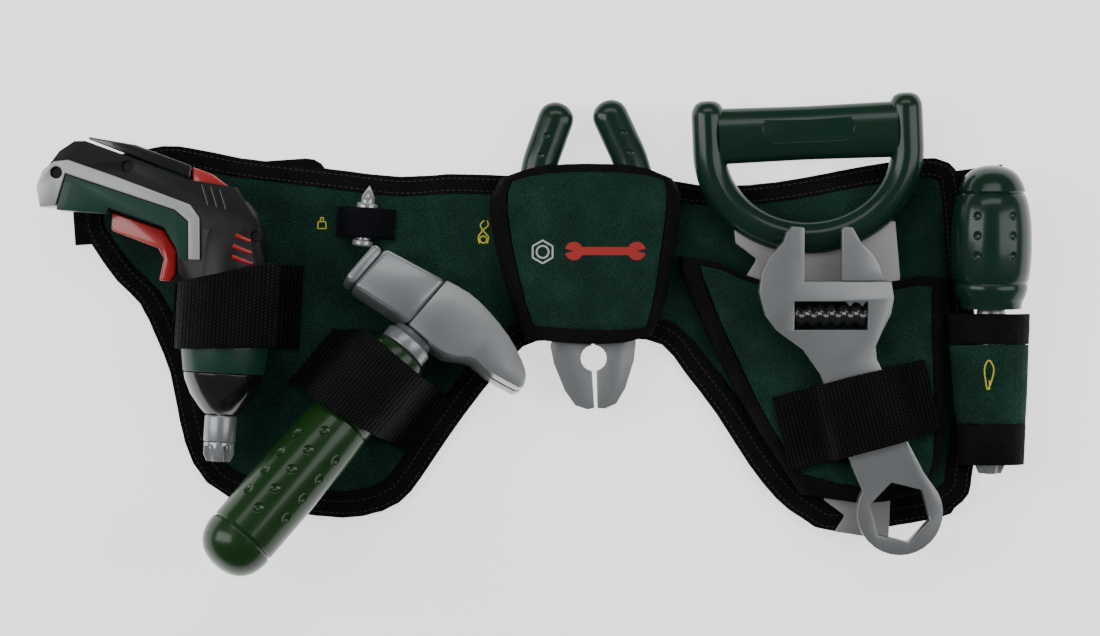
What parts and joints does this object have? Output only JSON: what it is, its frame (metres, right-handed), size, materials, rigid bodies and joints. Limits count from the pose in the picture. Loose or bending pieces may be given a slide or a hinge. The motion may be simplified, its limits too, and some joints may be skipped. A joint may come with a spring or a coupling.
{
  "type": "toy tool belt",
  "caption": "Child's fabric tool belt with pockets and elastic loops holding a set of full-sized plastic play tools.",
  "frame": {"origin": "on the table, under the middle of the bounding box of the whole belt lying on its back", "axes": "+X along the belt towards the screwdriver's end, +Y up the belt towards its top edge, +Z out of the belt's front, away from the table"},
  "size_m": [0.5536, 0.2685, 0.0801],
  "materials": {
    "green_fabric": "woven polyester",
    "black_binding": "woven binding tape",
    "black_elastic": "ribbed elastic webbing",
    "blue_black_loop": "smooth elastic",
    "hook_patch": "hook-and-loop tape",
    "black_plastic": "satin black plastic",
    "silver_plastic": "silver-grey paint over plastic",
    "green_matte": "matte green plastic",
    "dark_grey_plastic": "satin dark grey plastic",
    "red_plastic": "glossy red plastic",
    "steel": "plain steel",
    "white_gear": "off-white nylon",
    "clear_grey": "translucent grey plastic",
    "battery_jacket": "printed battery jacket",
    "olive_gloss": "glossy olive green plastic",
    "green_gloss": "glossy dark green plastic",
    "blade_plastic": "warm silver-grey paint over plastic"
  },
  "bodies": {
    "belt": {"belt_panel": "green_fabric", "panel_binding": "black_binding", "pliers_pocket_binding": "black_binding", "pliers_pocket": "green_fabric", "saw_pocket_binding": "black_binding", "saw_pocket": "green_fabric", "pouch_back": "green_fabric", "pouch_top_binding": "black_binding", "pouch_front": "green_fabric", "pouch_bottom_binding": "black_binding", "driver_loop": "black_elastic", "hammer_loop": "black_elastic", "screw_loop": "blue_black_loop", "wrench_loop": "black_elastic", "waist_strap_left_sewn_end": "black_elastic", "waist_strap_right_sewn_end": "black_elastic"},
    "driver": {"driver_shell_front": "black_plastic", "driver_shell_back": "black_plastic", "driver_trim": "silver_plastic", "driver_grip": "green_matte", "driver_battery_cover": "dark_grey_plastic", "driver_nose_ring": "green_matte", "driver_nose_cone": "black_plastic", "driver_motor": "steel", "driver_battery_1": "battery_jacket", "driver_battery_2": "battery_jacket", "driver_screw_1": "steel", "driver_screw_2": "steel", "driver_screw_3": "steel", "driver_trigger_spring": "steel"},
    "driver_trigger": {"driver_trigger": "red_plastic"},
    "driver_switch": {"driver_direction_switch": "dark_grey_plastic"},
    "driver_output": {"driver_gear": "white_gear", "driver_spindle": "steel", "driver_chuck": "silver_plastic", "driver_bit": "clear_grey"},
    "driver_pinion": {"driver_pinion": "steel"},
    "toy_screw": {"toy_screw": "silver_plastic"},
    "hammer": {"hammer_face": "silver_plastic", "hammer_poll": "silver_plastic", "hammer_claw": "silver_plastic", "hammer_neck": "silver_plastic", "hammer_grip": "olive_gloss"},
    "pliers": {"pliers_pin": "silver_plastic"},
    "pliers_left": {"pliers_left_half": "silver_plastic", "pliers_left_grip": "green_gloss"},
    "pliers_right": {"pliers_right_half": "silver_plastic", "pliers_right_grip": "green_gloss"},
    "wrench": {"wrench_body": "silver_plastic", "wrench_worm_pin": "steel"},
    "wrench_jaw": {"wrench_movable_jaw": "silver_plastic"},
    "wrench_worm": {"wrench_worm": "black_plastic"},
    "saw": {"saw_handle": "green_gloss", "saw_blade": "blade_plastic"},
    "screwdriver": {"screwdriver_handle": "green_gloss", "screwdriver_shaft": "clear_grey"},
    "strap_left": {"waist_strap_left": "black_elastic", "closure_hook_patch": "hook_patch"},
    "strap_right": {"waist_strap_right": "black_elastic", "closure_loop_patch": "hook_patch"}
  },
  "joints": [
    {"name": "driver_slide", "type": "slide", "parent": "belt", "child": "driver", "axis": [0.0558, 0.9984, 0], "range_m": [0, 0.125]},
    {"name": "driver_trigger_press", "type": "slide", "parent": "driver", "child": "driver_trigger", "axis": [0.2248, 0.9744, 0], "range_m": [0, 0.003], "stiffness_N_per_m": 300, "springref_m": -0.001, "deforming": ["driver_trigger_spring"]},
    {"name": "driver_switch_slide", "type": "slide", "parent": "driver", "child": "driver_switch", "axis": [0.8676, -0.4972, 0], "range_m": [0, 0.003]},
    {"name": "driver_chuck_spin", "type": "hinge", "parent": "driver", "child": "driver_output", "pos_m": [-0.1726, 0.0178, 0.0316], "axis": [0.0558, 0.9984, 0], "continuous": true},
    {"name": "driver_pinion_spin", "type": "hinge", "parent": "driver", "child": "driver_pinion", "pos_m": [-0.16287, 0.01726, 0.0316], "axis": [0.0558, 0.9984, 0], "continuous": true},
    {"name": "toy_screw_slide", "type": "slide", "parent": "belt", "child": "toy_screw", "axis": [0.1271, 0.9919, 0], "range_m": [0, 0.045]},
    {"name": "hammer_slide", "type": "slide", "parent": "belt", "child": "hammer", "axis": [0.4645, 0.5463, 0.697], "range_m": [0, 0.12], "deforming": ["hammer_loop"]},
    {"name": "pliers_slide", "type": "slide", "parent": "belt", "child": "pliers", "axis": [-0.0436, 0.999, 0], "range_m": [0, 0.15]},
    {"name": "pliers_left_hinge", "type": "hinge", "parent": "pliers", "child": "pliers_left", "pos_m": [0.0306, 0.0077, 0.0152], "axis": [0, 0, 1], "range_deg": [0, 6]},
    {"name": "pliers_right_hinge", "type": "hinge", "parent": "pliers", "child": "pliers_right", "pos_m": [0.0306, 0.0077, 0.0152], "axis": [0, 0, 1], "range_deg": [-6, 0]},
    {"name": "wrench_slide", "type": "slide", "parent": "belt", "child": "wrench", "axis": [-0.3511, 0.934, 0.0663], "range_m": [0, 0.125], "deforming": ["wrench_loop"]},
    {"name": "wrench_jaw_slide", "type": "slide", "parent": "wrench", "child": "wrench_jaw", "axis": [-0.9997, -0.0007, 0.0233], "range_m": [0, 0.02]},
    {"name": "wrench_worm_spin", "type": "hinge", "parent": "wrench", "child": "wrench_worm", "pos_m": [0.17977, 0.00925, 0.03079], "axis": [0.9997, 0.0007, -0.0233], "range_deg": [0, 1060]},
    {"name": "saw_slide", "type": "slide", "parent": "belt", "child": "saw", "axis": [-0.0436, 0.9979, 0.0471], "range_m": [0, 0.165]},
    {"name": "screwdriver_slide", "type": "slide", "parent": "belt", "child": "screwdriver", "axis": [0, 0.9977, 0.068], "range_m": [0, 0.1]},
    {"name": "strap_left_fold", "type": "hinge", "parent": "belt", "child": "strap_left", "pos_m": [-0.262, 0.0686, 0.00245], "axis": [-0.0698, 0.9976, 0], "range_deg": [0, 180]},
    {"name": "strap_right_fold", "type": "hinge", "parent": "belt", "child": "strap_right", "pos_m": [0.265, 0.0746, 0.00245], "axis": [0.1392, -0.9903, 0], "range_deg": [0, 180]}
  ],
  "couplings": [
    {"joint": "driver_pinion_spin", "follows": "driver_chuck_spin", "ratio": -3},
    {"joint": "pliers_right_hinge", "follows": "pliers_left_hinge", "ratio": -1},
    {"joint": "wrench_worm_spin", "follows": "wrench_jaw_slide", "rad_per_m": 924}
  ]
}
